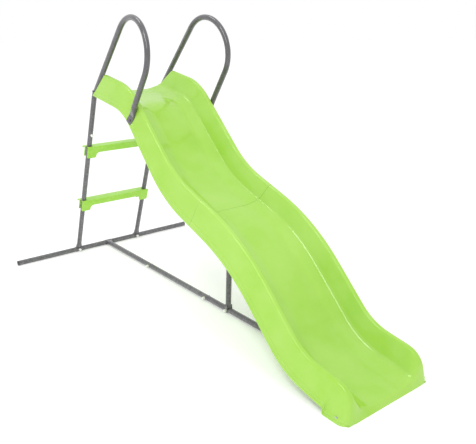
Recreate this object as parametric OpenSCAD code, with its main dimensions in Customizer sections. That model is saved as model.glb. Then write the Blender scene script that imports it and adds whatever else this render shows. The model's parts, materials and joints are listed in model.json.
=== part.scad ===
// Wave slide: a moulded two-piece wave chute on a bolted tube ladder frame.
// Millimetres. +X is the sliding direction, +Y is to the slider's left, +Z is up.
// Profiles in the XZ plane are measured from the axis of the foot crossbar,
// and foot_frame() moves everything so that the origin is under the middle.

/* [Tube frame] */
// Outside diameter of every frame tube
tube_d = 25; // [24:0.5:26]
// Wall thickness of the frame tubes
tube_wall = 1.5; // [1.2:0.1:2]
// Half the length of the foot crossbar
crossbar_half = 531; // [480:1:600]
// Half the distance between the ladder rails
rail_y = 184; // [182:0.5:186]
// Lean of the ladder rails from the vertical, degrees
rail_lean = 21.7; // [21.4:0.1:22]
// Height of the joint between a lower rail and its handrail
rail_joint_z = 702; // [695:1:710]

/* [Handrails] */
// Height at which the handrail bends forward
grip_bend_z = 900; // [895:1:905]
// Lean of the handrail's rear leg, degrees
grip_lean = 43.9; // [43:0.1:45]
// Length of the straight rear leg above the bend
grip_leg = 422; // [400:1:430]
// Radius of the loop's centreline
grip_loop_r = 147; // [140:1:150]
// How far the front leg opens away from the rear leg, degrees
grip_open = 8.4; // [8:0.1:9]
// Outward tilt of the loop, degrees
grip_splay = 4.5; // [4.4:0.1:4.7]

/* [Chute] */
// Wall thickness of the moulded chute
skin = 4; // [3:0.5:5]
// Half the distance between the two rim ridges
rim_y = 182; // [180:0.5:184]
// Half the width across the hems of the side skirts
hem_y = 220; // [218:0.5:222]
// Half the width across the feet of the run-out
foot_y = 223; // [221:0.5:225]
// Radius over the rim
rim_r = 11; // [10:0.5:12]
// Half the width of the flat middle of the bed on the slope
flat_y = 75; // [70:1:80]
// Half the width at the crease where the side wall rises from the bed's ledge
crease_y = 136; // [133:0.5:140]

/* [Steps] */
// Height of each step's top face
step_z = [327, 636]; // [320:1:640]
// Front-to-back depth of a step
step_depth = 68; // [66:1:70]
// Height of the step's end lugs
step_lug_h = 67; // [65:1:69]
// Height of the step's skirt in the middle
step_skirt_h = 37; // [35:1:39]

/* [Hidden] */
$fn = 48;

plastic_green = [0.60, 0.86, 0.25];
frame_grey = [0.36, 0.36, 0.38];
cap_black = [0.12, 0.12, 0.13];
cap_white = [0.92, 0.92, 0.90];
zinc = [0.72, 0.73, 0.75];

tube_r = tube_d / 2;
bore_r = tube_r - tube_wall;
spigot_r = bore_r - 0.15;
gap = 0.15;

// Fastener sizes
bolt_r = 3;
hole_r = 3.3;
head_r = 6.5;
head_h = 4;
nut_r = 5.5;
nut_h = 5;
cap_r = 6.6;
cap_wall = 0.9;
frame_bolt_l = 35;

// Seats of the fasteners, measured from a tube's axis
saddle_wall = 1.5;
saddle_seat = tube_r + gap + saddle_wall;
bar_seat = tube_r + gap;
cheek_seat = bar_seat + 1.2;

// ---- Chute lines: corner points joined by bends, from the rear to the run-out ----
rear_c = [484, 1002];
front_x = 2035;
crest_pts = [rear_c, [698.6, 966.7], [1042.9, 629.4], [1473.5, 476.5],
             [1798.4, 151.6], [2019, 118], [front_x, 14]];
crest_r = [280, 440, 830, 222, 76];
bed_depth = [97, 86, 80, 86, 96];
bed_rear_x = 408;
bed_r = [185, 520, 750, 310, 14];
hem_pts = [[404, 904], [690.6, 857.7], [991.5, 524.9], [1427, 370.3],
           [1740.5, 60], [1925, 25]];
hem_r = [215, 530, 760, 320];
foot_rear_x = 1931;
bend_steps = 8;
seam_x = 1215;
seam_gap = 0.6;

function unit(v) = v / norm(v);
function bearing(v) = atan2(v.y, v.x);
function side(v) = [-v.y, v.x];
function mix(a, b, t) = a + (b - a) * t;
function cross2(a, b) = a.x * b.y - a.y * b.x;
// Where the line through a along u meets the line through b along w
function meet(a, u, b, w) = a + u * (cross2(b - a, w) / cross2(u, w));
// Points round the bend of radius r at corner j of a line
function bend(pts, r, j, n) =
  let (u = unit(pts[j] - pts[j - 1]), w = unit(pts[j + 1] - pts[j]),
       a = bearing(u), turn = bearing(w) - a, s = sign(turn),
       c = pts[j] - u * r * tan(abs(turn) / 2) + side(u) * s * r)
  [for (k = [0:n]) let (q = a + turn * k / n) c + [sin(q), -cos(q)] * s * r];

function run_dir(i) = unit(crest_pts[i + 1] - crest_pts[i]);
function below(i) = -side(run_dir(i));
function bed_line(i) = crest_pts[i] + below(i) * bed_depth[i];
function bed_corner(i) = meet(bed_line(i - 1), run_dir(i - 1), bed_line(i), run_dir(i));
bed_front = [front_x - 13, bed_line(4).y
             + (front_x - 13 - bed_line(4).x) * run_dir(4).y / run_dir(4).x];
bed_pts = [bed_line(0) + run_dir(0) * (bed_rear_x - bed_line(0).x) / run_dir(0).x,
           bed_corner(1), bed_corner(2), bed_corner(3), bed_corner(4),
           bed_front, [front_x, 5]];

// The seam crosses the third run square to it
seam_dir = run_dir(2);
seam_slope = -bearing(seam_dir);
seam_c = crest_pts[2] + seam_dir * (seam_x - crest_pts[2].x) / seam_dir.x;
seam_b = seam_c + below(2) * bed_depth[2];
seam_h = meet(seam_c, below(2), hem_pts[2], unit(hem_pts[3] - hem_pts[2]));
seam_step = seam_dir * seam_gap;

// Stations: [crest point, bed point, hem point, half width at the hem]
function zip(c, b, h, y0, y1) =
  [for (k = [0:len(c) - 1]) [c[k], b[k], h[k], mix(y0, y1, k / (len(c) - 1))]];
function bend_stations(j) =
  zip(bend(crest_pts, crest_r[j - 1], j, bend_steps),
      bend(bed_pts, bed_r[j - 1], j, bend_steps),
      bend(hem_pts, hem_r[j - 1], j, bend_steps), hem_y, hem_y);
function foot_line() =
  [for (k = [0:bend_steps])
    k == 0 ? hem_pts[5] : mix([foot_rear_x, 0], [front_x - 18, 0], (k - 1) / (bend_steps - 1))];
upper_stations = concat(
  [[rear_c, bed_pts[0], hem_pts[0], hem_y]],
  bend_stations(1), bend_stations(2),
  [[seam_c, seam_b, seam_h, hem_y]]);
lower_stations = concat(
  [[seam_c + seam_step, seam_b + seam_step, seam_h + seam_step, hem_y]],
  bend_stations(3), bend_stations(4),
  zip(bend(crest_pts, crest_r[4], 5, bend_steps),
      bend(bed_pts, bed_r[4], 5, bend_steps), foot_line(), hem_y + 2, foot_y),
  [[crest_pts[6], bed_pts[6], [front_x - 8, 0], foot_y - 5]]);

// ---- Cross-section: [y, height below the crest] from the middle to the hem ----
cove_steps = 5;
rim_steps = 6;
lip_out = 5;
lip_h = 12;
function rim_radius(d) = min(rim_r, d * 0.13);
// The flat is a little wider on the run-out
function flat_half(x) = lookup(x, [[1700, flat_y], [1950, flat_y + 10]]);
ledge_rise = 0.2;
function trough_half(d, flat) =
  let (rise = d * ledge_rise, r = rim_radius(d))
  concat([[0, -d]],
    [for (k = [0:cove_steps]) let (t = k / cove_steps)
      [mix(flat, crease_y, t), -d + rise * t * t]],
    [for (k = [0:rim_steps]) let (a = 165 - k * 150 / rim_steps)
      [rim_y + r * cos(a), -r + r * sin(a)]]);
function skirt_half(q, y) =
  let (lip = min(lip_h, q * 0.3), out = min(lip_out, q * 0.2))
  [[y - out, -q + lip], [y - out * 0.7, -q + lip * 0.55], [y, -q]];
trough_n = cove_steps + rim_steps + 3;

function half_of(s) =
  let (d = norm(s[0] - s[1]), q = norm(s[0] - s[2]))
  concat(trough_half(d, flat_half(s[0].x)), skirt_half(q, s[3]));
// Moves each profile point by t to the hidden side of the skin
function thicken(p, t) =
  [for (k = [0:len(p) - 1])
    let (a = p[max(k - 1, 0)], b = p[min(k + 1, len(p) - 1)],
         n = k == 0 ? [0, -1] : unit([b.y - a.y, a.x - b.x]))
    p[k] + n * t];
// Puts a profile point into space: the trough hangs towards the bed point,
// the skirt towards the hem point
function place(s, p, k, sgn) =
  let (to = k < trough_n ? s[1] : s[2], v = s[0] + unit(to - s[0]) * -p.y)
  [v.x, sgn * p.x, max(v.y, 0)];
function ring(s) =
  let (o = half_of(s), i = thicken(o, skin), n = len(o) - 1)
  concat([for (k = [n:-1:1]) place(s, o[k], k, -1)],
         [for (k = [0:n]) place(s, o[k], k, 1)],
         [for (k = [n:-1:0]) place(s, i[k], k, 1)],
         [for (k = [1:n]) place(s, i[k], k, -1)]);

module skin_body(stations) {
  rings = [for (s = stations) ring(s)];
  n = len(rings[0]);
  m = n / 2;
  last = (len(rings) - 1) * n;
  sides = [for (i = [0:len(rings) - 2], j = [0:n - 1])
    let (a = i * n + j, b = i * n + (j + 1) % n) each [[a, b, b + n], [a, b + n, a + n]]];
  ends = [for (j = [0:m - 2]) let (o = n - 1 - j) each [
    [j, o, o - 1], [j, o - 1, j + 1],
    [last + j, last + j + 1, last + o - 1], [last + j, last + o - 1, last + o]]];
  polyhedron([for (r = rings) each r], concat(sides, ends));
}

// ---- Frames of reference ----
rear_x = -(saddle_seat + head_h);
module foot_frame() { translate([-(front_x + rear_x) / 2, 0, 0]) children(); }
// Child drawn with x as +Y, y as up out of the chute, z along the slope
module on_slope(p, slope) {
  translate([p.x, 0, p.y]) rotate([0, slope, 0]) rotate([90, 0, 90]) children();
}
// Child drawn along +Z is laid along the rail from the crossbar axis
module on_rail(s) {
  translate([0, s * rail_y, tube_r]) rotate([0, rail_lean, 0]) children();
}
module mirrored() {
  children();
  mirror([0, 1, 0]) children();
}
// Child drawn from -Y to +Y along Z
module along_y() { rotate([-90, 0, 0]) children(); }
module along_x() { rotate([0, 90, 0]) children(); }
function rail_s(z) = (z - tube_r) / cos(rail_lean);
function rail_x(z) = (z - tube_r) * tan(rail_lean);

// ---- Stock shapes ----
module tube(l) {
  difference() {
    cylinder(r = tube_r, h = l);
    translate([0, 0, -1]) cylinder(r = bore_r, h = l + 2);
  }
}
module sleeve(r_out, r_in, l) {
  difference() {
    cylinder(r = r_out, h = l);
    translate([0, 0, -1]) cylinder(r = r_in, h = l + 2);
  }
}
// Hole right through a tube, on the Y axis
module cross_hole(r) { along_y() translate([0, 0, -60]) cylinder(r = r, h = 120); }
// Round-headed bolt: the head's seat is at z = 0 and the shank runs along +Z
module bolt(l) {
  translate([0, 0, -head_h]) cylinder(r = head_r, h = head_h);
  cylinder(r = bolt_r, h = l);
}
module nut() {
  difference() {
    cylinder(r = nut_r, h = nut_h, $fn = 6);
    translate([0, 0, -1]) cylinder(r = bolt_r + 0.05, h = nut_h + 2);
  }
}
cap_h = 13;
module nut_cap() {
  difference() {
    union() {
      cylinder(r = cap_r, h = cap_h - 3);
      translate([0, 0, cap_h - 3]) cylinder(r1 = cap_r, r2 = cap_r - 2, h = 3);
    }
    translate([0, 0, -1]) cylinder(r = cap_r - cap_wall, h = cap_h - 2);
  }
}

// ---- Where the frame bolts go ----
joint_x = [474, 980];
strut_foot_x = 1145;
bar_plug = 3;
// [head's seat, direction of the shank, grip between head and nut, has a cap]
frame_joints = concat(
  [for (s = [-1, 1]) [[-bar_seat, s * rail_y, tube_r], [0, 90, 0], bar_seat + saddle_seat, true]],
  [[[-saddle_seat, 0, tube_r], [0, 90, 0], saddle_seat + bar_seat + bar_plug, false]],
  [for (x = joint_x) [[x, bar_seat, tube_r], [90, 0, 0], 2 * bar_seat, true]],
  [[[strut_foot_x, cheek_seat, tube_r], [90, 0, 0], 2 * cheek_seat, true]],
  [for (s = [-1, 1]) [[rail_x(rail_joint_z) - bar_seat * cos(rail_lean), s * rail_y,
                       rail_joint_z + bar_seat * sin(rail_lean)],
                      [0, 90 + rail_lean, 0], 2 * bar_seat, true]]);
module at_joint(j, along) { translate(j[0]) rotate(j[1]) translate([0, 0, along]) children(); }

// ---- Chute ----
flange_t = 5;
flange_drop = 38;
seam_bolt_y = [-110, 0, 110];
seam_bolt_drop = 24;
// Flange under the bed at the seam, from the slope position z0
module seam_flange(z0) {
  p = thicken(trough_half(bed_depth[2], flat_y), skin - 1);
  edge = [for (k = [1:cove_steps]) p[k]];
  low = -bed_depth[2] - flange_drop;
  outline = concat(
    [for (k = [cove_steps - 1:-1:0]) [-edge[k].x, edge[k].y]], edge,
    [[edge[cove_steps - 1].x - 12, low + 8], [edge[cove_steps - 1].x - 20, low],
     [-edge[cove_steps - 1].x + 20, low], [-edge[cove_steps - 1].x + 12, low + 8]]);
  difference() {
    translate([0, 0, z0]) linear_extrude(flange_t) polygon(outline);
    for (y = seam_bolt_y)
      translate([y, -bed_depth[2] - seam_bolt_drop, z0 - 1])
        cylinder(r = hole_r, h = flange_t + 2);
  }
}
// Rear flange of the platform, with an ear beside each rail
ear_t = 5;
ear_y = rail_y - tube_r - gap - ear_t;
ear_z = 918;
ear_x = rail_x(grip_bend_z) + (ear_z - grip_bend_z) * tan(grip_lean);
ear_r = 12;
flange_low = 888;
flange_x = bed_rear_x + 2;
flange_top = bed_pts[0].y - skin + 2;
module platform_flange() {
  translate([flange_x, -ear_y - ear_t, flange_low])
    cube([flange_t, 2 * (ear_y + ear_t), flange_top - flange_low]);
  mirrored() translate([0, ear_y, 0]) difference() {
    union() {
      translate([ear_x, 0, ear_z]) along_y() cylinder(r = ear_r, h = ear_t);
      translate([ear_x, 0, ear_z - ear_r]) cube([flange_x - ear_x + 1, ear_t, 2 * ear_r]);
    }
    translate([ear_x, 0, ear_z]) cross_hole(hole_r);
  }
}
// Where the front leg of a handrail is bolted flat against the skirt
grip_foot = [745, 833];
grip_foot_y = 214.3;
grip_tilt = 12.6;
grip_yaw = 13;
grip_roll = 32;
module upper_chute() {
  foot_frame() color(plastic_green) difference() {
    union() {
      skin_body(upper_stations);
      on_slope(seam_c, seam_slope) seam_flange(-flange_t);
      platform_flange();
    }
    for (s = [-1, 1]) at_grip_bolt(s) translate([0, 0, -20]) cylinder(r = hole_r, h = 60);
  }
}

// Run-out: transverse rib that takes the ground bar, and a flat pad in each foot
rib_x = 1800;
rib_half = 120;
rib_top = 58;
pad_x = 1945;
pad_l = 70;
pad_t = 5;
pad_in = 150;
module lower_chute() {
  foot_frame() color(plastic_green) difference() {
    union() {
      skin_body(lower_stations);
      on_slope(seam_c, seam_slope) seam_flange(seam_gap);
      translate([rib_x, -rib_half, 3]) cube([flange_t, 2 * rib_half, rib_top - 3]);
      mirrored() translate([pad_x, pad_in, 0]) cube([pad_l, foot_y - 6 - pad_in, pad_t]);
      mirrored() at_foot_screw() translate([0, 0, 1]) cylinder(r = 7, h = screw_l - 4);
    }
    translate([rib_x, 0, tube_r]) along_x() translate([0, 0, -5]) cylinder(r = hole_r, h = 15);
    mirrored() at_foot_screw() translate([0, 0, -5]) cylinder(r = 2.1, h = screw_l + 10);
  }
}
// Foot screw: drawn along +Z from under its head, pointing into the foot
screw_l = 18;
foot_screw_x = 1990;
foot_screw_z = 20;
foot_screw_y = 217.8;
module at_foot_screw() {
  translate([foot_screw_x, foot_screw_y, foot_screw_z]) rotate([90, 0, 0]) children();
}

// ---- Steps ----
step_t = 4;
step_front = 23;
step_half = 200;
step_lug_in = 150;
lug_fillet = 20;
lug_corner = 8;
web_t = 4;
// Front view of a skirt: shallow in the middle, a rounded lug at each end
module skirt_outline() {
  mirror_x() difference() {
    union() {
      translate([0, -step_skirt_h]) square([step_half, step_skirt_h]);
      translate([step_lug_in, -step_lug_h + lug_corner])
        square([step_half - step_lug_in, step_lug_h - lug_corner]);
      translate([step_lug_in + lug_corner, -step_lug_h])
        square([step_half - step_lug_in - 2 * lug_corner, lug_corner]);
      for (x = [step_lug_in + lug_corner, step_half - lug_corner])
        translate([x, -step_lug_h + lug_corner]) circle(r = lug_corner);
      translate([step_lug_in - lug_fillet, -step_skirt_h - lug_fillet])
        square([lug_fillet, lug_fillet]);
    }
    translate([step_lug_in - lug_fillet, -step_skirt_h - lug_fillet]) circle(r = lug_fillet);
  }
}
module mirror_x() {
  children();
  mirror([1, 0]) children();
}
// A skirt plate that leans with the rails, its front face passing through x at the top
module step_skirt(x, t) {
  translate([x, 0, 0]) rotate([0, rail_lean, 0]) translate([-t, 0, 0])
    rotate([90, 0, 90]) linear_extrude(t) skirt_outline();
}
module step_shape(z) {
  translate([rail_x(z), 0, z]) difference() {
    union() {
      translate([step_front - step_depth, -step_half, -step_t])
        cube([step_depth, 2 * step_half, step_t]);
      step_skirt(step_front, step_t);
      step_skirt(step_front - step_depth + step_t, step_t);
      // Webs that hold the rail between them and the front skirt
      mirrored() rotate([0, rail_lean, 0])
        translate([-tube_r - gap - web_t, step_lug_in, -step_lug_h + 6])
          cube([web_t, step_half - step_lug_in, step_lug_h - 8]);
      mirrored() rotate([0, rail_lean, 0])
        translate([tube_r + gap, rail_y, -step_screw_drop]) along_x()
          cylinder(r = 7, h = step_front * cos(rail_lean) - tube_r - gap - 1);
    }
    mirrored() rotate([0, rail_lean, 0])
      translate([-tube_r - gap, rail_y - tube_r - gap, -step_lug_h - 20])
        cube([tube_d + 2 * gap, step_half, step_lug_h + 60]);
    mirrored() rotate([0, rail_lean, 0]) translate([0, rail_y, -step_screw_drop]) along_x()
      translate([0, 0, -60]) cylinder(r = hole_r, h = 60 + step_front * cos(rail_lean) - 5);
    translate([-200, -250, 0]) cube([400, 500, 100]);
    translate([step_front - step_depth - 200, -250, -80]) cube([200, 500, 100]);
  }
}
step_screw_drop = 42;
step_screw_l = 33;
module at_step_screws(z) {
  translate([rail_x(z), 0, z]) mirrored() rotate([0, rail_lean, 0])
    translate([-tube_r - gap - web_t, rail_y, -step_screw_drop]) along_x() children();
}
module lower_step() { foot_frame() color(plastic_green) step_shape(step_z[0]); }
module upper_step() { foot_frame() color(plastic_green) step_shape(step_z[1]); }

// ---- Ladder rails ----
saddle_w = 36;
spigot_l = 45;
module rail_foot_cut() {
  along_y() translate([0, 0, -50]) cylinder(r = tube_r + gap, h = 100);
}
// Flared foot that wraps the crossbar, in the rail's own direction
module rail_foot() {
  difference() {
    union() {
      along_y() translate([0, 0, -saddle_w / 2])
        cylinder(r = tube_r + gap + saddle_wall, h = saddle_w);
      hull() {
        translate([-6, -saddle_w / 2 + 2, 8]) cube([12, saddle_w - 4, 4]);
        translate([0, 0, 46]) cylinder(r = tube_r - 0.5, h = 2, $fn = 32);
      }
    }
    rail_foot_cut();
    // Open below and behind, so that the foot can be set down on the bar
    translate([-40, -50, -40]) cube([80, 100, 32]);
    translate([-40, -50, -40]) cube([40, 100, 45]);
  }
}
rail_end_s = rail_s(rail_joint_z) + 20;
module lower_rail(s) {
  foot_frame() color(frame_grey) on_rail(s) difference() {
    union() {
      rail_foot();
      translate([0, 0, 20]) cylinder(r = tube_r, h = rail_end_s - 20);
    }
    translate([0, 0, 40]) cylinder(r = bore_r, h = rail_end_s);
    translate([0, 0, rail_s(rail_joint_z)]) along_x() translate([0, 0, -40])
      cylinder(r = hole_r, h = 80);
    for (z = step_z)
      translate([0, 0, rail_s(z) - step_screw_drop]) along_x()
        translate([0, 0, -40]) cylinder(r = hole_r, h = 80);
    rotate([0, -rail_lean, 0]) along_x() translate([0, 0, -40]) cylinder(r = hole_r, h = 80);
  }
}
module left_lower_rail() { lower_rail(1); }
module right_lower_rail() { lower_rail(-1); }

// ---- Handrails ----
bend_r = 80;
bend_turn = grip_lean - rail_lean;
bend_cut = bend_r * tan(bend_turn / 2);
swage_l = 6;
spigot_wall = 1.3;
grip_front_l = 165;
// Shoulder and spigot at the start of a tube that plugs into the next one below z = 0
module spigot() {
  sleeve(tube_r, spigot_r - spigot_wall, swage_l);
  translate([0, 0, -spigot_l]) sleeve(spigot_r, spigot_r - spigot_wall, spigot_l + 1);
}
// Arc of rod that starts along +Z at the origin and turns towards +X
module rod_bend(r, turn, rod_r) {
  translate([r, 0, 0]) rotate([90, 0, 0]) rotate([0, 0, 180 - turn])
    rotate_extrude(angle = turn) translate([r, 0]) circle(r = rod_r);
}
// The loop's own plane, starting at the bend
module on_grip(s) {
  translate([rail_x(grip_bend_z), s * rail_y, grip_bend_z]) rotate([0, grip_lean, 0])
    rotate([0, 0, s * grip_splay]) children();
}
module front_leg() {
  translate([grip_loop_r, 0, grip_leg]) rotate([0, 180 - grip_open, 0])
    translate([-grip_loop_r, 0, 0]) children();
}
grip_plate_t = 3;
grip_plate_half = 17;
grip_plate_end = 21;
grip_corner = 5;
grip_bolt_drop = 7;
grip_neck = 16;
bend_thin = 0.05;
bend_in = 1;
// The handrail's path filled with rod: a bent tube draws a little thinner in its
// bends, and each straight length runs on by bend_in over the start of a bend
module handrail_rod(s, r, start_s) {
  bend_s = rail_s(grip_bend_z) - bend_cut;
  on_rail(s) {
    translate([0, 0, start_s]) cylinder(r = r, h = bend_s + bend_in - start_s);
    translate([0, 0, bend_s]) rod_bend(bend_r, bend_turn, r - bend_thin);
  }
  on_grip(s) {
    translate([0, 0, bend_cut - bend_in]) cylinder(r = r, h = grip_leg - bend_cut + 2 * bend_in);
    translate([0, 0, grip_leg]) rod_bend(grip_loop_r, 180 - grip_open, r - bend_thin);
    front_leg() translate([0, 0, -bend_in]) cylinder(r = r, h = grip_front_l + bend_in);
  }
}
module handrail(s) {
  foot_frame() color(frame_grey) difference() {
    union() {
      difference() {
        handrail_rod(s, tube_r, rail_end_s);
        handrail_rod(s, bore_r, rail_end_s + swage_l);
      }
      on_rail(s) translate([0, 0, rail_end_s]) spigot();
      // The end is flattened into a plate, cut off square
      hull() {
        on_grip(s) front_leg() translate([0, 0, grip_front_l - 2])
          cylinder(r = tube_r - 0.4, h = 3, $fn = 32);
        at_grip_plate(s) translate([0.5 - grip_plate_half, grip_neck - 2, 0.3])
          cube([2 * grip_plate_half - 1, 1.5, grip_plate_t - 0.6]);
      }
      at_grip_plate(s) linear_extrude(grip_plate_t) mirror_x() {
        translate([0, grip_corner - grip_plate_end])
          square([grip_plate_half, grip_plate_end - grip_corner + grip_neck]);
        translate([0, -grip_plate_end]) square([grip_plate_half - grip_corner, grip_corner + 1]);
        translate([grip_plate_half - grip_corner, grip_corner - grip_plate_end])
          circle(r = grip_corner);
      }
    }
    on_rail(s) translate([0, 0, rail_s(rail_joint_z)]) along_x() translate([0, 0, -40])
      cylinder(r = hole_r, h = 80);
    at_grip_bolt(s) translate([0, 0, -9]) cylinder(r = hole_r, h = 20);
    ear_hole(s);
  }
}
// The plate's outer face: +Y runs up towards the leg and +Z into the skirt
module at_grip_plate(s) {
  mirror([0, s < 0 ? 1 : 0, 0])
    translate([grip_foot.x, grip_foot_y, grip_foot.y]) rotate([grip_tilt + 90, 0, -grip_yaw])
      rotate([0, 0, -grip_roll]) children();
}
module at_grip_bolt(s) { at_grip_plate(s) translate([0, -grip_bolt_drop, 0]) children(); }
module ear_hole(s) {
  translate([ear_x, s * rail_y, ear_z]) cross_hole(hole_r);
}
module left_handrail() { handrail(1); }
module right_handrail() { handrail(-1); }

// ---- Foot crossbar ----
crossbar_joint_y = -22;
end_cap_t = 3;
module crossbar_holes() {
  for (y = [-rail_y, 0, rail_y])
    translate([0, y, 0]) along_x() translate([0, 0, -20]) cylinder(r = hole_r, h = 40);
}
module right_crossbar() {
  l = crossbar_half - end_cap_t + crossbar_joint_y;
  foot_frame() color(frame_grey) translate([0, 0, tube_r]) difference() {
    translate([0, crossbar_joint_y, 0]) rotate([90, 0, 0]) tube(l);
    crossbar_holes();
  }
}
module left_crossbar() {
  l = crossbar_half - end_cap_t - crossbar_joint_y;
  foot_frame() color(frame_grey) translate([0, 0, tube_r]) difference() {
    translate([0, crossbar_joint_y, 0]) along_y() {
      tube(l);
      spigot();
    }
    crossbar_holes();
  }
}
module crossbar_end_caps() {
  foot_frame() color(cap_black) mirrored()
    translate([0, crossbar_half - end_cap_t, tube_r]) along_y() {
      cylinder(r = tube_r, h = end_cap_t);
      translate([0, 0, -14]) cylinder(r = bore_r - gap, h = 15);
    }
}

// ---- Ground bar ----
bar_seam_x = [joint_x[0] + 12, joint_x[1] + 12];
bar_end_x = rib_x - gap;
module bar_hole(x) { translate([x, 0, 0]) cross_hole(hole_r); }
module ground_bar_rear() {
  foot_frame() color(frame_grey) translate([0, 0, tube_r]) difference() {
    union() {
      along_x() cylinder(r = tube_r, h = bar_seam_x[0]);
      along_y() translate([0, 0, -saddle_w / 2]) cylinder(r = saddle_seat, h = saddle_w);
      hull() {
        translate([8, -saddle_w / 2 + 2, -4]) cube([6, saddle_w - 4, 16]);
        translate([44, 0, 0]) along_x() cylinder(r = tube_r - 0.5, h = 2, $fn = 32);
      }
    }
    translate([bar_seat + bar_plug, 0, 0]) along_x() cylinder(r = bore_r, h = 600);
    along_y() translate([0, 0, -40]) cylinder(r = bar_seat, h = 80);
    // The saddle is open below
    translate([-30, -40, -40]) cube([30, 80, 34]);
    translate([-30, -40, -40]) cube([40, 80, 40 - tube_r]);
    along_x() translate([0, 0, -30]) cylinder(r = hole_r, h = 60);
    bar_hole(joint_x[0]);
  }
}
module bar_piece(x0, x1) {
  translate([x0, 0, 0]) along_x() {
    tube(x1 - x0);
    spigot();
  }
}
module ground_bar_middle() {
  foot_frame() color(frame_grey) translate([0, 0, tube_r]) difference() {
    bar_piece(bar_seam_x[0], bar_seam_x[1]);
    for (x = joint_x) bar_hole(x);
  }
}
module ground_bar_front() {
  foot_frame() color(frame_grey) translate([0, 0, tube_r]) difference() {
    bar_piece(bar_seam_x[1], bar_end_x);
    bar_hole(joint_x[1]);
    bar_hole(strut_foot_x);
  }
}
insert_l = 30;
module ground_bar_insert() {
  foot_frame() color(cap_black) translate([bar_end_x - insert_l, 0, tube_r]) along_x()
    sleeve(bore_r - gap, bolt_r + 0.05, insert_l);
}

// ---- Support strut ----
strut_lean = 2.7;
strut_top_z = 410;
strut_tab_t = 3;
strut_tab_w = 26;
strut_tab_l = 32;
fork_w = 22;
fork_h = 34;
module along_strut(l) {
  translate([strut_foot_x, 0, tube_r]) rotate([0, strut_lean, 0]) translate([0, 0, l]) children();
}
module seam_bolt_axis(y) {
  on_slope(seam_c, seam_slope) translate([y, -bed_depth[2] - seam_bolt_drop, 0]) children();
}
module strut_tab() {
  seam_bolt_axis(0) translate([0, 0, -flange_t - gap - strut_tab_t]) children();
}
module support_strut() {
  foot_frame() color(frame_grey) difference() {
    union() {
      along_strut(0) cylinder(r = tube_r, h = strut_top_z - tube_r);
      translate([strut_foot_x - fork_w / 2, -cheek_seat, 3]) cube([fork_w, 2 * cheek_seat, fork_h]);
      hull() {
        along_strut(strut_top_z - tube_r - 2) cylinder(r = tube_r - 0.4, h = 3, $fn = 32);
        strut_tab() translate([0.5 - strut_tab_w / 2, 1 - strut_tab_l, 0.3])
          cube([strut_tab_w - 1, 4, strut_tab_t - 0.6]);
      }
      strut_tab() translate([-strut_tab_w / 2, -strut_tab_l, 0])
        cube([strut_tab_w, strut_tab_l, strut_tab_t]);
      strut_tab() cylinder(r = strut_tab_w / 2, h = strut_tab_t);
    }
    along_strut(20) cylinder(r = bore_r, h = strut_top_z - 60);
    translate([strut_foot_x - 40, -bar_seat, -1]) cube([80, 2 * bar_seat, tube_d + gap + 1]);
    translate([strut_foot_x, 0, tube_r]) cross_hole(hole_r);
    strut_tab() translate([0, 0, -5]) cylinder(r = hole_r, h = 15);
  }
}

// ---- Fasteners ----
module frame_bolts() {
  foot_frame() color(zinc) for (j = frame_joints) at_joint(j, 0) bolt(frame_bolt_l);
}
module frame_nuts() {
  foot_frame() color(zinc) for (j = frame_joints) at_joint(j, j[2] + gap) nut();
}
module nut_caps() {
  foot_frame() color(cap_white) for (j = frame_joints) if (j[3])
    at_joint(j, j[2] + gap) nut_cap();
}
module step_screws() {
  foot_frame() color(zinc) for (z = step_z) at_step_screws(z)
    translate([0, 0, -gap]) bolt(step_screw_l);
}
grip_bolt_l = 18;
grip_nut_lift = 1.5;
module handrail_bolts() {
  foot_frame() color(frame_grey) for (s = [-1, 1]) at_grip_bolt(s)
    translate([0, 0, -gap]) bolt(grip_bolt_l);
}
module handrail_nuts() {
  foot_frame() color(zinc) for (s = [-1, 1]) at_grip_bolt(s)
    translate([0, 0, grip_plate_t + skin + grip_nut_lift]) nut();
}
platform_bolt_l = 40;
module platform_bolts() {
  foot_frame() color(frame_grey) mirrored()
    translate([ear_x, rail_y + bar_seat, ear_z]) rotate([90, 0, 0]) bolt(platform_bolt_l);
}
module platform_nuts() {
  foot_frame() color(zinc) mirrored()
    translate([ear_x, ear_y - gap, ear_z]) rotate([90, 0, 0]) nut();
}
seam_bolt_l = 24;
seam_seat = flange_t + gap + strut_tab_t;
module seam_bolts() {
  foot_frame() color(zinc) for (y = seam_bolt_y) seam_bolt_axis(y)
    translate([0, 0, y == 0 ? -seam_seat - gap : -flange_t - gap]) bolt(seam_bolt_l);
}
module seam_nuts() {
  foot_frame() color(zinc) for (y = seam_bolt_y) seam_bolt_axis(y)
    translate([0, 0, seam_gap + flange_t + gap]) nut();
}
run_out_bolt_l = 24;
module run_out_bolt() {
  foot_frame() color(zinc) translate([rib_x + flange_t + gap, 0, tube_r])
    rotate([0, -90, 0]) bolt(run_out_bolt_l);
}
module foot_screws() {
  foot_frame() color(zinc) mirrored() at_foot_screw() {
    translate([0, 0, -2]) cylinder(r = 5, h = 2);
    cylinder(r = 2, h = screw_l);
  }
}

upper_chute();
lower_chute();
lower_step();
upper_step();
left_lower_rail();
right_lower_rail();
left_handrail();
right_handrail();
left_crossbar();
right_crossbar();
crossbar_end_caps();
ground_bar_rear();
ground_bar_middle();
ground_bar_front();
ground_bar_insert();
support_strut();
frame_bolts();
frame_nuts();
nut_caps();
step_screws();
handrail_bolts();
handrail_nuts();
platform_bolts();
platform_nuts();
seam_bolts();
seam_nuts();
run_out_bolt();
foot_screws();
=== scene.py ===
import json
import math

import bmesh
import bpy
import numpy as np
from mathutils import Matrix, Quaternion, Vector


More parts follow.
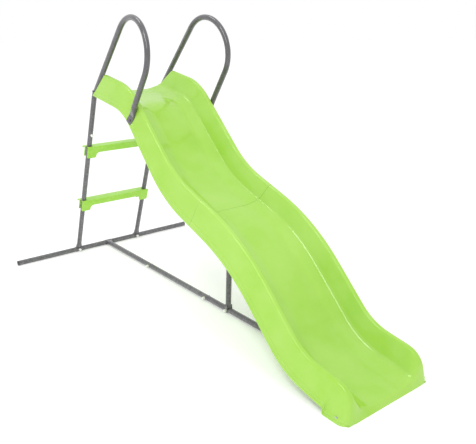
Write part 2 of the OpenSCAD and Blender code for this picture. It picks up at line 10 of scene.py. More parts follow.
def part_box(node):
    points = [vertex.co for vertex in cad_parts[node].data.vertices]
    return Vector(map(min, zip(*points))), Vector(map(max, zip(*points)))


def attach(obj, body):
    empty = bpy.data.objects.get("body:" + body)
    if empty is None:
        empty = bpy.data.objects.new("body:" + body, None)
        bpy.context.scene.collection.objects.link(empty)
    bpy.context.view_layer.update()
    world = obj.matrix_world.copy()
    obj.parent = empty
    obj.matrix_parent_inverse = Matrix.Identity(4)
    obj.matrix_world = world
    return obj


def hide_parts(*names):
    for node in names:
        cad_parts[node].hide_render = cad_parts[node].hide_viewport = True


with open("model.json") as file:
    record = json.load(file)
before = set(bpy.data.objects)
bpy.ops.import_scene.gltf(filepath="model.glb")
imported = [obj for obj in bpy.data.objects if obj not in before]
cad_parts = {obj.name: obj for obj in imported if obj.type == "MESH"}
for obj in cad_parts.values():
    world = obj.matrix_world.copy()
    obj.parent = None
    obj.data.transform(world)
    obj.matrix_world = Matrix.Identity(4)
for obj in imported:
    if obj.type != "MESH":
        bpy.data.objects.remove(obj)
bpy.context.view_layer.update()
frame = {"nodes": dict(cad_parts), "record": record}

MM = 0.001

# ---- Places that come from the frame ----
# Profile lines below are in metres, x measured from the foot crossbar's axis
FRONT_X = 2.035
FOOT_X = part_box("lower_chute")[1].x - FRONT_X

# ---- The chute's three lines: crest of the sides, bed, and hem of the skirts ----
REAR_CREST = (0.484, 1.002)
CREST = [REAR_CREST, (0.6986, 0.9667), (1.0429, 0.6294), (1.4735, 0.4765),
         (1.7984, 0.1516), (2.019, 0.118), (FRONT_X, 0.003)]
CREST_R = [0.280, 0.440, 0.830, 0.222, 0.076]
BED_DEPTH = [0.097, 0.086, 0.080, 0.086, 0.096]
BED_R = [0.185, 0.520, 0.750, 0.310, 0.014]
BED_REAR_X = 0.408
HEM = [(0.404, 0.904), (0.6906, 0.8577), (0.9915, 0.5249), (1.427, 0.3703),
       (1.7405, 0.060), (1.925, 0.025)]
HEM_R = [0.215, 0.530, 0.760, 0.320]
HEM_HEEL = [(1.929, 0.017), (1.9305, 0.004)]
FOOT_REAR_X, FOOT_FRONT_X, FOOT_TIP = 1.931, 2.023, (2.033, 0)
# The bed's front lip turns down this far back, to this height above the ground
LIP_BACK, GROUND_GAP = 13 * MM, 0.5 * MM
SEAM_X = 1.215
# The seam's gap closes over a few stations
SEAM_GAP, SEAM_STATIONS = 0.7 * MM, 3
UPPER_END_ROUND, LOWER_END_ROUND = 1.3 * MM, 1.1 * MM

# ---- The chute's cross-section ----
SKIN = 4 * MM
CREASE_Y = 0.136
LEDGE_RISE = 0.2
# Radius in the crease at the side wall's foot, by the crest's x
CREASE_R = [(0.680, 0.030), (0.780, 0.008), (1.250, 0.008), (1.420, 0.032)]
RIM_IN_Y, RIM_OUT_Y = 0.172, 0.191
RIM_FILLET, LEDGE_FILLET, BAND_FILLET = 9.5 * MM, 95 * MM, 1.2 * MM
BAND_H, BAND_STEP, HEM_STEP = 23 * MM, 4.2 * MM, 3.6 * MM
# Largest share of the skirt's drop that the band takes, and the depths of its steps as
# shares of the band's height above the hem
BAND_MOST, BAND_STEP_AT, HEM_STEP_TOP, HEM_STEP_FOOT = 0.3, 0.84, 0.38, 0.24
# A corner's arc takes at most this share of each straight beside it
ARC_MOST = 0.45
# Half width of the bed's flat by the crest's x, and of the skirts by the hem's x
FLAT_HALF = [(1.700, 0.079), (1.950, 0.090)]
HEM_HALF = [(1.800, 0.220), (1.985, 0.2235), (2.005, 0.223), (2.015, 0.219), (2.023, 0.213),
            (2.033, 0.200)]


# ---- Lines in a plane ----
# A corner that turns less than this many radians is straight
STRAIGHT = 1e-6
# Length of the points round a straight corner, as a share of its radius
STRAIGHT_SPREAD = 0.02


def unit(v):
    v = np.asarray(v, float)
    return v / np.linalg.norm(v)


def left_of(v):
    return np.array([-v[1], v[0]])


def cross2(a, b):
    return a[0] * b[1] - a[1] * b[0]


def meet(a, u, b, w):
    """Where the line through a along u meets the line through b along w."""
    return a + u * cross2(b - a, w) / cross2(u, w)


def arc(a, b, c, radius, steps):
    """Points round the arc of that radius that rounds the corner b between a and c."""
    u, w = unit(b - a), unit(c - b)
    turn = math.atan2(cross2(u, w), u @ w)
    if abs(turn) < STRAIGHT:
        return [b + u * radius * (k / steps - 0.5) * STRAIGHT_SPREAD for k in range(steps + 1)]
    sign = math.copysign(1, turn)
    centre = b - u * radius * math.tan(abs(turn) / 2) + left_of(u) * sign * radius
    start = math.atan2(u[1], u[0])
    angles = [start + turn * k / steps for k in range(steps + 1)]
    return [centre + sign * radius * np.array([math.sin(q), -math.cos(q)]) for q in angles]


# ---- Stations along the chute ----
def run_dir(i):
    return unit(np.subtract(CREST[i + 1], CREST[i]))


def bed_line(i):
    return np.array(CREST[i]) - left_of(run_dir(i)) * BED_DEPTH[i]


def bed_points():
    """The bed line's corners: each run lies its own depth below the crest's."""
    rear = bed_line(0) + run_dir(0) * (BED_REAR_X - bed_line(0)[0]) / run_dir(0)[0]
    corners = [meet(bed_line(i - 1), run_dir(i - 1), bed_line(i), run_dir(i)) for i in range(1, 5)]
    lip_x = FRONT_X - LIP_BACK
    slope = run_dir(4)[1] / run_dir(4)[0]
    lip = np.array([lip_x, bed_line(4)[1] + (lip_x - bed_line(4)[0]) * slope])
    return [rear, *corners, lip, np.array([FRONT_X, GROUND_GAP])]


BEND_STEPS = 24
STATION_STEP = 11 * MM
RIB_STEP = 2.5 * MM
RIB_REACH = 0.062


def bends(points, radii, j):
    a, b, c = (np.array(points[k], float) for k in (j - 1, j, j + 1))
    return arc(a, b, c, radii[j - 1], BEND_STEPS)


def foot_line():
    """The hem round the foot: it drops to the ground, then runs forward along it."""
    drop = [HEM[5]] + HEM_HEEL
    along = BEND_STEPS + 1 - len(drop)
    foot = FOOT_FRONT_X - FOOT_REAR_X
    ground = [(FOOT_REAR_X + foot * k / (along - 1), 0) for k in range(along)]
    return [np.array(p, float) for p in drop + ground]


def station_knots():
    """Matched crest, bed and hem points at the ends and bends, and the seam's index."""
    bed = bed_points()
    knots = [(CREST[0], bed[0], HEM[0])]
    for j in (1, 2):
        knots += zip(bends(CREST, CREST_R, j), bends(bed, BED_R, j), bends(HEM, HEM_R, j))
    third = run_dir(2)
    crest = np.array(CREST[2]) + third * (SEAM_X - CREST[2][0]) / third[0]
    hem = meet(crest, left_of(third), np.array(HEM[2]), unit(np.subtract(HEM[3], HEM[2])))
    seam = len(knots)
    knots.append((crest, crest - left_of(third) * BED_DEPTH[2], hem))
    for j in (3, 4):
        knots += zip(bends(CREST, CREST_R, j), bends(bed, BED_R, j), bends(HEM, HEM_R, j))
    knots += zip(bends(CREST, CREST_R, 5), bends(bed, BED_R, 5), foot_line())
    knots.append((CREST[6], bed[6], FOOT_TIP))
    return np.array([[np.array(p, float) for p in k] for k in knots]), seam


def fill_runs(knots, seam):
    """Adds stations along the straight runs, close together where the platform is ribbed."""
    out, seam_at = [], 0
    for i in range(len(knots)):
        if i == seam:
            seam_at = len(out)
        out.append(knots[i])
        if i + 1 == len(knots):
            break
        length = np.linalg.norm(knots[i + 1][0] - knots[i][0])
        if i == 0:
            fine = int(RIB_REACH / RIB_STEP)
            cuts = [k * RIB_STEP / length for k in range(1, fine)]
            more = int((length - RIB_REACH) / STATION_STEP)
            cuts += list(np.linspace(RIB_REACH / length, 1, more + 1)[:-1])
        else:
            count = max(1, round(length / STATION_STEP))
            cuts = [k / count for k in range(1, count)]
        out += [knots[i] + (knots[i + 1] - knots[i]) * t for t in cuts]
    return np.array(out), seam_at


EASE_PASSES = 8
EASE_STOPS_BEFORE_FOOT = 0.03


def ease(lines):
    """Softens the change of curvature where runs meet bends; the foot's corners stay."""
    eased = lines.copy()
    hem_ends = int(np.argmax(lines[:, 2, 0] >= HEM[5][0] - EASE_STOPS_BEFORE_FOOT))
    for _ in range(EASE_PASSES):
        middle = (eased[:-2] + 2 * eased[1:-1] + eased[2:]) / 4
        middle[hem_ends - 1:, 2] = eased[hem_ends:-1, 2]
        eased[1:-1] = middle
    return eased


def by_x(table, x):
    return float(np.interp(x, [t[0] for t in table], [t[1] for t in table]))


# ---- The cross-section as a rounded line, from the middle of the bed to the hem ----
def rounded_path(corners):
    """Corners are (y, depth, radius, arc steps, steps of the straight before it).

    Returns the points, and for each point the number of the corner that it leads to.
    """
    points = [np.array(c[:2], float) for c in corners]
    path, kinds = [points[0]], [0]
    at = points[0]
    for i in range(1, len(corners)):
        radius, arc_steps, straight_steps = corners[i][2:]
        if i + 1 < len(corners):
            before, after = points[i] - points[i - 1], points[i + 1] - points[i]
            turn = abs(math.atan2(cross2(before, after), before @ after))
            reach = ARC_MOST * min(np.linalg.norm(before), np.linalg.norm(after))
            radius = min(radius, reach / max(math.tan(turn / 2), STRAIGHT))
            new = arc(points[i - 1], points[i], points[i + 1], radius, arc_steps)
        else:
            new = [points[i]]
        start = new[0]
        path += [at + (start - at) * k / straight_steps for k in range(1, straight_steps)]
        path += new
        kinds += [i] * (straight_steps - 1 + len(new))
        at = new[-1]
    return np.array(path), np.array(kinds)


def half_section(station):
    """The section of one side: bed, ledge, wall, rim, skirt and stepped hem band."""
    crest, bed, hem = station
    depth, drop = np.linalg.norm(crest - bed), np.linalg.norm(crest - hem)
    flat, hem_half = by_x(FLAT_HALF, crest[0]), by_x(HEM_HALF, hem[0])
    rise = LEDGE_RISE * depth
    band = min(BAND_H, drop * BAND_MOST)
    scale = band / BAND_H
    band_y = hem_half - HEM_STEP * scale
    return rounded_path([
        (0, depth, 0, 0, 0),
        (flat, depth, LEDGE_FILLET, 10, 6),
        (CREASE_Y, depth - rise, by_x(CREASE_R, crest[0]), 12, 5),
        (RIM_IN_Y, 0, RIM_FILLET, 10, 7),
        (RIM_OUT_Y, 0, RIM_FILLET, 10, 3),
        (band_y - BAND_STEP * scale, drop - band, BAND_FILLET, 3, 12),
        (band_y, drop - band * BAND_STEP_AT, BAND_FILLET, 3, 2),
        (band_y, drop - band * HEM_STEP_TOP, BAND_FILLET, 3, 3),
        (hem_half, drop - band * HEM_STEP_FOOT, BAND_FILLET, 3, 2),
        (hem_half, drop - SKIN / 2, 0, 0, 2)])


def normals_of(path):
    """Unit normals to the hidden side of the skin, and the direction the path ends in."""
    ahead = np.roll(path, -1, 0) - np.roll(path, 1, 0)
    ahead[0] = [1, 0]
    ahead[-1] = path[-1] - path[-2]
    n = np.stack([-ahead[:, 1], ahead[:, 0]], 1)
    return n / np.linalg.norm(n, axis=1)[:, None], unit(ahead[-1])


CAP_STEPS = 4
END_STEPS = 4
# Numbers of the section's corners: the bed's flat ends at 1, the skirt starts at 4
BED_CORNER, SKIRT_CORNER = 1, 4
RIB_AT = [12 * MM, 26 * MM, 40 * MM]
RIB_HALF, RIB_HEIGHT = 5 * MM, 1.6 * MM
RIB_Y, RIB_FADE = 0.135, 8 * MM


def rib_lift(from_rear, y):
    """Height of the anti-slip ribs across the rear of the platform."""
    across = np.clip((RIB_Y - np.abs(y)) / RIB_FADE, 0, 1)
    along = max(math.cos(min(1, abs(from_rear - at) / RIB_HALF) * math.pi / 2) ** 2 for at in RIB_AT)
    return RIB_HEIGHT * along * across


def ring(station, from_rear, inset=0.0):
    """One closed loop of points round the skin; inset thins it towards its middle."""
    crest, bed, hem = station
    path, kinds = half_section(station)
    n, along = normals_of(path)
    if from_rear < RIB_REACH:
        path = path - np.stack([0 * path[:, 0], rib_lift(from_rear, path[:, 0]) * (kinds <= BED_CORNER)], 1)
    outer, inner = path + n * inset, path + n * (SKIN - inset)
    middle, half = path[-1] + n[-1] * SKIN / 2, SKIN / 2 - inset
    angles = [math.pi * k / (CAP_STEPS + 1) for k in range(1, CAP_STEPS + 1)]
    cap = [middle - n[-1] * half * math.cos(a) + along * half * math.sin(a) for a in angles]
    to_bed, to_hem = unit(bed - crest), unit(hem - crest)
    trough = kinds < SKIRT_CORNER

    def place(p, toward_bed, side):
        v = crest + (to_bed if toward_bed else to_hem) * p[1]
        return (FOOT_X + v[0], side * p[0], max(v[1], 0.0))

    last = len(path) - 1
    right = [place(outer[k], trough[k], 1) for k in range(last + 1)]
    right += [place(p, False, 1) for p in cap]
    right += [place(inner[k], trough[k], 1) for k in range(last, -1, -1)]
    left = [(x, -y, z) for x, y, z in right]
    return right + left[-2:0:-1]


def skin_mesh(name, stations, distances, end_round):
    """Sweeps the section through the stations, with its two ends rounded."""
    turns = [math.pi / 2 * k / END_STEPS for k in range(END_STEPS + 1)]
    edge = [(end_round * (1 - math.sin(q)), end_round * (1 - math.cos(q))) for q in turns]

    def end_rings(first, second, distance):
        inward = (second - first) / np.linalg.norm(second[0] - first[0])
        return [ring(first + inward * back, distance, inset) for back, inset in reversed(edge)]

    rings = end_rings(stations[0], stations[1], distances[0])
    rings += [ring(s, d) for s, d in zip(stations[1:-1], distances[1:-1])]
    rings += end_rings(stations[-1], stations[-2], distances[-1])[::-1]
    bm = bmesh.new()
    loops = [[bm.verts.new(p) for p in r] for r in rings]
    count = len(loops[0])
    for a, b in zip(loops, loops[1:]):
        for k in range(count):
            bm.faces.new((a[k], a[(k + 1) % count], b[(k + 1) % count], b[k]))
    # Each end is closed by a strip from the visible side of the skin to the hidden side
    half = count // 2
    for loop in (loops[0], loops[-1]):
        for side in (1, -1):
            for k in range(half // 2):
                corners = (k, k + 1, half - k - 1, half - k)
                strip = dict.fromkeys(loop[(side * c) % count] for c in corners)
                if len(strip) > 2:
                    bm.faces.new(strip)
    return to_object(name, bm)


SAME_PLACE = 1e-6
SMOOTH_BELOW = math.radians(38)


def to_object(name, bm):
    """Makes the mesh an object with smooth shading up to the angle SMOOTH_BELOW."""
    bmesh.ops.remove_doubles(bm, verts=bm.verts, dist=SAME_PLACE)
    bmesh.ops.dissolve_degenerate(bm, edges=bm.edges, dist=SAME_PLACE)
    bmesh.ops.recalc_face_normals(bm, faces=bm.faces)
    for f in bm.faces:
        f.smooth = True
    for e in bm.edges:
        e.smooth = len(e.link_faces) == 2 and e.calc_face_angle(0) < SMOOTH_BELOW
    mesh = bpy.data.meshes.new(name)
    bm.to_mesh(mesh)
    bm.free()
    obj = bpy.data.objects.new(name, mesh)
    bpy.context.scene.collection.objects.link(obj)
    return obj


def show(obj, slot, *nodes):
    """Puts the piece on the root body in its slot's material, in place of the nodes."""
    obj.data.materials.clear()
    obj.data.materials.append(MATERIALS[slot])
    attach(obj, "root")
    if nodes:
        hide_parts(*nodes)
    return obj


# ---- Materials ----
def linear(r, g, b):
    """An sRGB colour given from 0 to 255, as linear values."""
    def one(c):
        c /= 255
        return c / 12.92 if c <= 0.04045 else ((c + 0.055) / 1.055) ** 2.4
    return (one(r), one(g), one(b), 1)


class Shader:
    """A material with a Principled shader and short ways to add nodes to it."""

    def __init__(self, name, colour, roughness, metallic=0.0):
        self.material = bpy.data.materials.new(name)
        self.material.use_nodes = True
        self.nodes = self.material.node_tree.nodes
        self.links = self.material.node_tree.links
        self.main = self.nodes["Principled BSDF"]
        self.main.inputs["Base Color"].default_value = colour
        self.main.inputs["Roughness"].default_value = roughness
        self.main.inputs["Metallic"].default_value = metallic
        self.coords = self.nodes.new("ShaderNodeTexCoord").outputs["Object"]

    def noise(self, scale, detail=2.0, stretch=(1, 1, 1)):
        """A noise from 0 to 1, in cells of about 1 / scale metres."""
        mapping = self.nodes.new("ShaderNodeMapping")
        mapping.inputs["Scale"].default_value = stretch
        self.links.new(self.coords, mapping.inputs["Vector"])
        node = self.nodes.new("ShaderNodeTexNoise")
        node.inputs["Scale"].default_value = scale
        node.inputs["Detail"].default_value = detail
        self.links.new(mapping.outputs["Vector"], node.inputs["Vector"])
        return node.outputs["Fac"]

    def spread(self, value, low, high, start=0.35, end=0.65):
        """Maps a noise value from start..end to low..high."""
        node = self.nodes.new("ShaderNodeMapRange")
        for key, v in (("From Min", start), ("From Max", end), ("To Min", low), ("To Max", high)):
            node.inputs[key].default_value = v
        self.links.new(value, node.inputs["Value"])
        return node.outputs["Result"]

    def blend(self, factor, a, b):
        """Mixes two colours, each given as a tuple or as another node's output."""
        node = self.nodes.new("ShaderNodeMix")
        node.data_type = "RGBA"
        self.links.new(factor, node.inputs["Factor"])
        for key, v in (("A", a), ("B", b)):
            socket = [s for s in node.inputs if s.name == key and s.type == "RGBA"][0]
            if isinstance(v, tuple):
                socket.default_value = v
            else:
                self.links.new(v, socket)
        return [s for s in node.outputs if s.type == "RGBA"][0]

    def pale_edge_mask(self, most, start=0.53, end=0.62):
        """Rises to most on outer edges, broken up by noise."""
        shape = self.nodes.new("ShaderNodeNewGeometry").outputs["Pointiness"]
        edge = self.spread(shape, 0, most, start, end)
        patches = self.nodes.new("ShaderNodeMath")
        patches.operation = "MULTIPLY"
        self.links.new(edge, patches.inputs[0])
        broken = self.spread(self.noise(60, 3), 0.25, 1, 0.4, 0.6)
        self.links.new(broken, patches.inputs[1])
        return patches.outputs[0]

    def bump(self, height, strength, distance):
        """Adds a bump on top of any the material has already."""
        node = self.nodes.new("ShaderNodeBump")
        node.inputs["Strength"].default_value = strength
        node.inputs["Distance"].default_value = distance
        self.links.new(height, node.inputs["Height"])
        if self.main.inputs["Normal"].is_linked:
            self.links.new(self.main.inputs["Normal"].links[0].from_socket, node.inputs["Normal"])
        self.links.new(node.outputs["Normal"], self.main.inputs["Normal"])

    def drive(self, socket, value):
        """Links a node's output to the main shader's socket."""
        self.links.new(value, self.main.inputs[socket])


def chute_plastic():
    """Glossy moulded polyethylene: slow colour drift, orange peel, slide marks, and pale edges that are
    partly wear and partly a painted highlight along the rim.
    """
    base, deep, pale = linear(158, 203, 82), linear(150, 199, 65), linear(170, 209, 102)
    # Pale edge colour: on this plastic it stands partly for wear and partly for a painted highlight on the
    # rim.
    pale_edge_colour = linear(184, 216, 130)
    s = Shader("chute_plastic", base, 0.2)
    s.main.inputs["Specular IOR Level"].default_value = 0.5
    drift = s.spread(s.noise(3.0, 3), 0, 1)
    colour = s.blend(drift, base, deep)
    cloud = s.spread(s.noise(11.0, 4), 0, 0.35)
    colour = s.blend(cloud, colour, pale)
    # The low pointiness range takes in the rim's rounding, so the paled edges paint a highlight line along
    # the rim as well as wear on sharper edges.
    s.drive("Base Color", s.blend(s.pale_edge_mask(0.8, 0.51, 0.56), colour, pale_edge_colour))
    marks = s.noise(9.0, 5, (1.2, 22, 3))
    s.drive("Roughness", s.spread(marks, 0.08, 0.16, 0.3, 0.75))
    s.bump(s.noise(9, 2), 0.25, 1.0 * MM)
    s.bump(s.noise(420, 3), 0.05, 0.15 * MM)
    return s.material


def step_plastic():
    """The steps' moulded plastic: a slow colour drift and a fine grain."""
    base, deep, pale_edge_colour = linear(156, 212, 66), linear(148, 207, 52), linear(188, 224, 124)
    s = Shader("step_plastic", base, 0.36)
    colour = s.blend(s.spread(s.noise(12, 3), 0, 1), base, deep)
    s.drive("Base Color", s.blend(s.pale_edge_mask(0.6), colour, pale_edge_colour))
    s.drive("Roughness", s.spread(s.noise(40, 3), 0.32, 0.44))
    s.bump(s.noise(650, 2), 0.25, 0.3 * MM)
    return s.material


def frame_paint():
    """Satin grey powder coat with its fine pebbled grain."""
    base, rubbed, pale_edge_colour = linear(78, 76, 80), linear(90, 88, 92), linear(124, 123, 127)
    s = Shader("frame_paint", base, 0.3)
    s.main.inputs["Coat Weight"].default_value = 0.7
    s.main.inputs["Coat Roughness"].default_value = 0.08
    colour = s.blend(s.spread(s.noise(45, 4), 0, 1, 0.45, 0.75), base, rubbed)
    s.drive("Base Color", s.blend(s.pale_edge_mask(0.5), colour, pale_edge_colour))
    s.drive("Roughness", s.spread(s.noise(160, 3), 0.2, 0.32))
    s.bump(s.noise(900, 2), 0.12, 0.1 * MM)
    return s.material


def moulded_cap(name, colour):
    """Plain plastic of caps and plugs with a faint grain."""
    s = Shader(name, colour, 0.42)
    s.drive("Roughness", s.spread(s.noise(300, 2), 0.36, 0.5))
    s.bump(s.noise(1200, 2), 0.15, 0.1 * MM)
    return s.material


def zinc():
    """Zinc-plated steel with a mottled tone and brushed sheen."""
    s = Shader("zinc_steel", linear(196, 198, 202), 0.32, 1.0)
    bright, dull = linear(200, 202, 206), linear(172, 174, 180)
    s.drive("Base Color", s.blend(s.spread(s.noise(220, 4), 0, 1), bright, dull))
    s.drive("Roughness", s.spread(s.noise(500, 3, (1, 1, 6)), 0.24, 0.42))
    return s.material


def floor_paper():
    """Pale matt studio floor that glows a little, so that its shadows stay light."""
    s = Shader("floor_paper", linear(240, 240, 240), 0.9)
    s.main.inputs["Emission Color"].default_value = (1, 1, 1, 1)
    s.main.inputs["Emission Strength"].default_value = 0.2
    s.bump(s.noise(60, 3), 0.05, 1 * MM)
    return s.material


MATERIALS = {
    "chute_plastic": chute_plastic(),
    "step_plastic": step_plastic(),
    "frame_paint": frame_paint(),
    "black_plastic": moulded_cap("black_plastic", linear(34, 34, 36)),
    "white_plastic": moulded_cap("white_plastic", linear(236, 236, 232)),
    "zinc_steel": zinc(),
}


def finish_cad_nodes():
    """Every CAD node takes the finish of its slot; those replaced below are not shown."""
    slots = {p["node"]: p["material_slot"] for p in frame["record"]["subparts"]}
    for name, obj in frame["nodes"].items():
        obj.data.materials.clear()
        obj.data.materials.append(MATERIALS[slots[name]])


# ---- Chute ----
def build_chute():
    """Both lengths of the chute as finer skins, and the plates below them."""
    knots, seam = station_knots()
    lines, seam = fill_runs(knots, seam)
    lines = ease(lines)
    crest = lines[:, 0]
    distances = np.concatenate([[0], np.cumsum(np.linalg.norm(np.diff(crest, axis=0), axis=1))])
    upper = lines[:seam + 1]
    lower = lines[seam:].copy()
    for k in range(SEAM_STATIONS):
        lower[k] += run_dir(2) * SEAM_GAP * (1 - k / SEAM_STATIONS)
    show(skin_mesh("upper_chute_skin", upper, distances[:seam + 1], UPPER_END_ROUND),
         "chute_plastic", "upper_chute")
    show(skin_mesh("lower_chute_skin", lower, distances[seam:], LOWER_END_ROUND),
         "chute_plastic", "lower_chute")
    build_flanges(upper[-1], lower[0])


# ---- Parts of the chute that are hidden below it ----
FLANGE_T, FLANGE_DROP, FLANGE_LOW = 5 * MM, 38 * MM, 0.888
# The seam flanges' lower corners are cut back
FLANGE_CORNER, FLANGE_TAPER, FLANGE_CHAMFER = 12 * MM, 20 * MM, 8 * MM
# How far hidden plates run into the skin or stand in from its end, and their soft edges
OVERLAP, FLANGE_IN, PLATE_SOFT = 1 * MM, 2 * MM, 0.9 * MM
EDGE_ABOVE = math.radians(28)
CIRCLE_STEP = 10
EAR_X, EAR_Z, EAR_R = 0.3702, 0.918, 12 * MM
EAR_Y = 0.1663
RIB_X, RIB_WIDE, RIB_LOW, RIB_TOP = 1.800, 0.120, 3 * MM, 58 * MM
PAD_X, PAD_L, PAD_T, PAD_IN, PAD_OUT = 1.945, 70 * MM, 5 * MM, 0.150, 0.216
BOSS_X, BOSS_Z, BOSS_R = 1.990, 20 * MM, 7 * MM
BOSS_OUT, BOSS_L = 0.2168, 14 * MM


def plate(name, outline, origin, across, up, thickness):
    """A flat plate with softened edges: the outline is in the plane of across and up."""
    across, up = Vector(across).normalized(), Vector(up).normalized()
    out = across.cross(up)
    bm = bmesh.new()
    base = [bm.verts.new(Vector(origin) + across * a + up * b) for a, b in outline]
    bottom = bm.faces.new(base)
    top = bmesh.ops.extrude_face_region(bm, geom=[bottom])["geom"]
    for v in top:
        if isinstance(v, bmesh.types.BMVert):
            v.co += out * thickness
    soften(bm, PLATE_SOFT, 2)
    show(to_object(name, bm), "chute_plastic")


def round_edges(bm, edges, width, steps):
    bmesh.ops.bevel(bm, geom=edges, offset=width, offset_type="OFFSET", segments=steps,
                    profile=0.5, affect="EDGES", clamp_overlap=True)


def soften(bm, width, steps):
    """Rounds the outer and inner edges of a closed mesh."""
    bm.normal_update()
    edges = [e for e in bm.edges if len(e.link_faces) == 2 and e.calc_face_angle(0) > EDGE_ABOVE]
    round_edges(bm, edges, width, steps)


def box_plate(name, low, high):
    """A plate that fills a box given in profile coordinates."""
    size = np.subtract(high, low)
    outline = [(0, 0), (size[1], 0), (size[1], size[2]), (0, size[2])]
    plate(name, outline, (FOOT_X + low[0], low[1], low[2]), (0, 1, 0), (0, 0, 1), size[0])


def arc_points(radius, start, end, count):
    """Points round the origin from the start angle to the end angle, in degrees."""
    angles = [math.radians(start + (end - start) * k / count) for k in range(count + 1)]
    return [(radius * math.cos(a), radius * math.sin(a)) for a in angles]


def build_flanges(upper_end, lower_end):
    """Flanges at the seam and the platform, ears, the run-out's rib, foot pads and bosses."""
    slope = run_dir(2)
    along = Vector((slope[0], 0, slope[1]))
    rise = Vector((-slope[1], 0, slope[0]))
    for name, station, shift in (("upper_seam_flange", upper_end, -FLANGE_T - OVERLAP),
                                 ("lower_seam_flange", lower_end, OVERLAP)):
        path, kinds = half_section(station)
        n = normals_of(path)[0]
        under = path + n * (SKIN - OVERLAP)
        side = [(y, -d) for y, d in under[kinds <= BED_CORNER]]
        low = -BED_DEPTH[2] - FLANGE_DROP
        edge = side[-1][0]
        outline = [(-y, d) for y, d in side[:0:-1]] + side
        right = [(edge - FLANGE_CORNER, low + FLANGE_CHAMFER), (edge - FLANGE_TAPER, low)]
        outline += right + [(-y, d) for y, d in reversed(right)]
        start = Vector((FOOT_X + station[0][0], 0, station[0][1])) + along * shift
        plate(name, outline, start, (0, 1, 0), rise, FLANGE_T)
    flange_x = BED_REAR_X + FLANGE_IN
    flange_top = bed_points()[0][1] - SKIN + FLANGE_IN
    inner = EAR_Y + FLANGE_T
    flat, height = FLAT_HALF[0][1], flange_top - FLANGE_LOW
    ledge = height + LEDGE_RISE * (CREASE_Y - flat)
    half = [(inner, 0), (inner, ledge), (CREASE_Y, ledge), (flat, height)]
    plate("platform_flange", half + [(-y, d) for y, d in reversed(half)],
          (FOOT_X + flange_x, 0, FLANGE_LOW), (0, 1, 0), (0, 0, 1), FLANGE_T)
    box_plate("run_out_rib", (RIB_X, -RIB_WIDE, RIB_LOW), (RIB_X + FLANGE_T, RIB_WIDE, RIB_TOP))
    boss = arc_points(BOSS_R, 0, 360 - CIRCLE_STEP, 360 // CIRCLE_STEP - 1)
    reach = flange_x - EAR_X + OVERLAP
    ear = arc_points(EAR_R, 270, 90, 24) + [(reach, EAR_R), (reach, -EAR_R)]
    for side, word in ((1, "left"), (-1, "right")):
        y = EAR_Y if side > 0 else -EAR_Y - FLANGE_T
        plate(word + "_platform_ear", ear, (FOOT_X + EAR_X, y + FLANGE_T, EAR_Z),
              (1, 0, 0), (0, 0, 1), FLANGE_T)
        low_y, high_y = sorted((side * PAD_IN, side * PAD_OUT))
        box_plate(word + "_foot_pad", (PAD_X, low_y, 0), (PAD_X + PAD_L, high_y, PAD_T))
        start = BOSS_OUT if side > 0 else BOSS_L - BOSS_OUT
        plate(word + "_screw_boss", boss,
              (FOOT_X + BOSS_X, start, BOSS_Z), (1, 0, 0), (0, 0, 1), BOSS_L)


# ---- Softened copies of small hard-edged pieces ----
STEP_EDGE, STEP_FRONT, FRONT_STEPS = 1.2 * MM, 8 * MM, 8
FLAT_BELOW = math.radians(0.4)
NEAR = 0.1 * MM
# Node, width of the softened edge, slot, steps across the edge
SOFT_PIECES = [
    ("nut_caps", 1.1 * MM, "white_plastic", 4),
    ("frame_bolts", 0.9 * MM, "zinc_steel", 3),
    ("frame_nuts", 0.4 * MM, "zinc_steel", 2),
    ("handrail_bolts", 1.3 * MM, "frame_paint", 4),
    ("platform_bolts", 1.3 * MM, "frame_paint", 4),
    ("step_screws", 0.9 * MM, "zinc_steel", 3),
    ("foot_screws", 0.5 * MM, "zinc_steel", 3),
    ("seam_bolts", 0.9 * MM, "zinc_steel", 3),
    ("crossbar_end_caps", 0.8 * MM, "black_plastic", 3),
]


def soft_copy(name, width, slot, steps, front_round=0.0):
    """A CAD node with softened edges, and a rounder top front edge where it is asked for."""
    bm = bmesh.new()
    source = frame["nodes"][name]
    bm.from_mesh(source.data)
    bm.transform(source.matrix_world)
    bmesh.ops.remove_doubles(bm, verts=bm.verts, dist=SAME_PLACE)
    bmesh.ops.dissolve_limit(bm, angle_limit=FLAT_BELOW, verts=bm.verts, edges=bm.edges)
    if front_round:
        top = max(v.co.z for v in bm.verts) - NEAR
        front = max(v.co.x for v in bm.verts if v.co.z > top) - NEAR
        edges = [e for e in bm.edges if all(v.co.z > top and v.co.x > front for v in e.verts)]
        round_edges(bm, edges, front_round, FRONT_STEPS)
    soften(bm, width, steps)
    show(to_object(name + "_soft", bm), slot, name)


def build_small_pieces():
    for name in ("lower_step", "upper_step"):
        soft_copy(name, STEP_EDGE, "step_plastic", 2, STEP_FRONT)
    for name, width, slot, steps in SOFT_PIECES:
        soft_copy(name, width, slot, steps)


# ---- Camera, light and floor ----
EYE = (2.0916, -1.5011, 1.2293)
YAW, PITCH, ROLL = math.radians(141.427), math.radians(-18.145), math.radians(-0.33)
LENS, SENSOR, CLIP_END = 46.23, 36, 100
WHITE = (1, 1, 1, 1)
FLOOR_RADIUS, FLOOR_SIDES = 40, 96


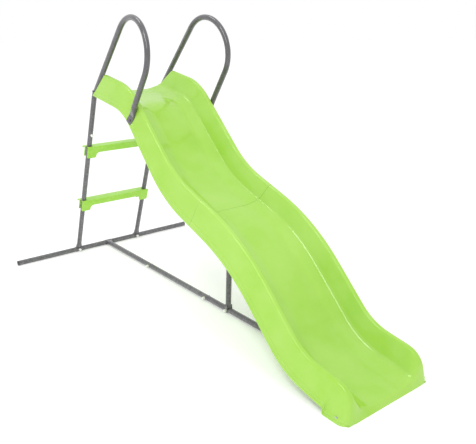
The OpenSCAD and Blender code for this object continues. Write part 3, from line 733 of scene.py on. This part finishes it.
def build_camera(scene):
    """The photo's own view of the slide."""
    camera = bpy.data.cameras.new("camera")
    camera.lens, camera.sensor_width = LENS, SENSOR
    camera.clip_end = CLIP_END
    eye = bpy.data.objects.new("camera", camera)
    level = math.cos(PITCH)
    forward = Vector((level * math.cos(YAW), level * math.sin(YAW), math.sin(PITCH)))
    turn = forward.to_track_quat("-Z", "Y") @ Quaternion((0, 0, 1), ROLL)
    place_in(scene, eye, EYE, turn)
    scene.camera = eye


def place_in(scene, obj, place, turn):
    obj.location = place
    obj.rotation_mode = "QUATERNION"
    obj.rotation_quaternion = turn
    scene.collection.objects.link(obj)


def sun(scene, name, towards, strength, angle):
    light = bpy.data.lights.new(name, "SUN")
    light.energy, light.angle = strength, math.radians(angle)
    turn = Vector(towards).to_track_quat("-Z", "Y")
    place_in(scene, bpy.data.objects.new(name, light), (0, 0, 0), turn)


def softbox(scene, name, place, target, along, size, power):
    """A rectangular light at a place that faces the target, with its length along a line."""
    light = bpy.data.lights.new(name, "AREA")
    light.shape, light.energy = "RECTANGLE", power
    light.size, light.size_y = size
    back = (Vector(place) - Vector(target)).normalized()
    side = Vector(along) - back * back.dot(Vector(along))
    side.normalize()
    turn = Matrix((side, back.cross(side), back)).transposed().to_quaternion()
    place_in(scene, bpy.data.objects.new(name, light), place, turn)


def build_stage():
    """Camera, white surroundings, lights and the pale floor."""
    scene = bpy.context.scene
    scene.view_settings.view_transform = "Standard"
    build_camera(scene)
    world = bpy.data.worlds.new("studio")
    scene.world = world
    world.use_nodes = True
    background = world.node_tree.nodes["Background"]
    background.inputs["Color"].default_value = WHITE
    background.inputs["Strength"].default_value = 1.0
    sun(scene, "sky_light", towards=(-0.25, 0.1, -1), strength=0.1, angle=50)
    softbox(scene, "strip", place=(1.3, -1.7, 2.75), target=(0.4, 0, 0.4), along=(1.8, 0, -0.95),
            size=(2.4, 0.5), power=32)
    softbox(scene, "top_light", place=(-1.0, -0.4, 3.3), target=(-0.4, 0, 1.0), along=(1, 0, 0),
            size=(1.0, 0.3), power=9)
    bm = bmesh.new()
    bmesh.ops.create_circle(bm, cap_ends=True, radius=FLOOR_RADIUS, segments=FLOOR_SIDES)
    floor = to_object("floor", bm)
    floor.data.materials.append(floor_paper())


finish_cad_nodes()
build_chute()
build_small_pieces()
build_stage()
